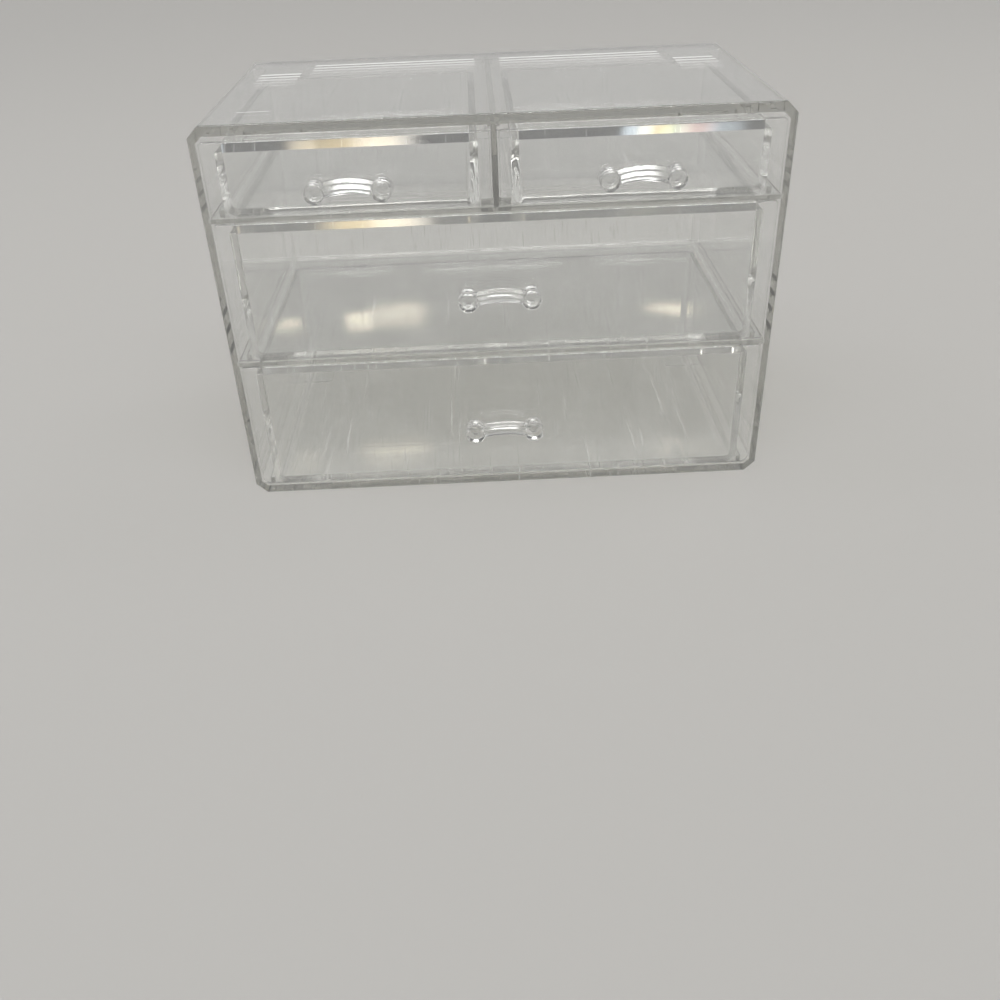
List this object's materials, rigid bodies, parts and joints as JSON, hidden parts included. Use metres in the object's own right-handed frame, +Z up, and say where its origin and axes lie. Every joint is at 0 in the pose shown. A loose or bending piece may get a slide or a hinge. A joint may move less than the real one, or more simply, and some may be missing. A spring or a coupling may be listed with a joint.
{
  "type": "cosmetics drawer chest",
  "caption": "Clear plastic tabletop chest with small drawers side by side above full-width drawers, each with a bowed clear handle.",
  "frame": {"origin": "centre of the case's flat underside", "axes": "+X to the right along the case's width, +Y towards the back, +Z up"},
  "size_m": [0.24, 0.1414, 0.1697],
  "materials": {
    "clear_case": "clear moulded polystyrene, polished, lightly scratched",
    "clear_drawer": "clear moulded polystyrene, polished, light handling marks",
    "clear_handle": "clear moulded polystyrene, high polish"
  },
  "bodies": {
    "case": {"case_shell": "clear_case", "back_cover": "clear_case", "lower_shelf": "clear_case", "upper_shelf": "clear_case", "centre_divider": "clear_case"},
    "small_left_drawer": {"small_left_tray": "clear_drawer", "small_left_front": "clear_drawer", "small_left_handle": "clear_handle"},
    "small_right_drawer": {"small_right_tray": "clear_drawer", "small_right_front": "clear_drawer", "small_right_handle": "clear_handle"},
    "upper_large_drawer": {"upper_large_tray": "clear_drawer", "upper_large_front": "clear_drawer", "upper_large_handle": "clear_handle"},
    "lower_large_drawer": {"lower_large_tray": "clear_drawer", "lower_large_front": "clear_drawer", "lower_large_handle": "clear_handle"}
  },
  "joints": [
    {"name": "small_left_slide", "type": "slide", "parent": "case", "child": "small_left_drawer", "axis": [0, -1, 0], "range_m": [0, 0.1]},
    {"name": "small_right_slide", "type": "slide", "parent": "case", "child": "small_right_drawer", "axis": [0, -1, 0], "range_m": [0, 0.1]},
    {"name": "upper_large_slide", "type": "slide", "parent": "case", "child": "upper_large_drawer", "axis": [0, -1, 0], "range_m": [0, 0.1]},
    {"name": "lower_large_slide", "type": "slide", "parent": "case", "child": "lower_large_drawer", "axis": [0, -1, 0], "range_m": [0, 0.1]}
  ]
}
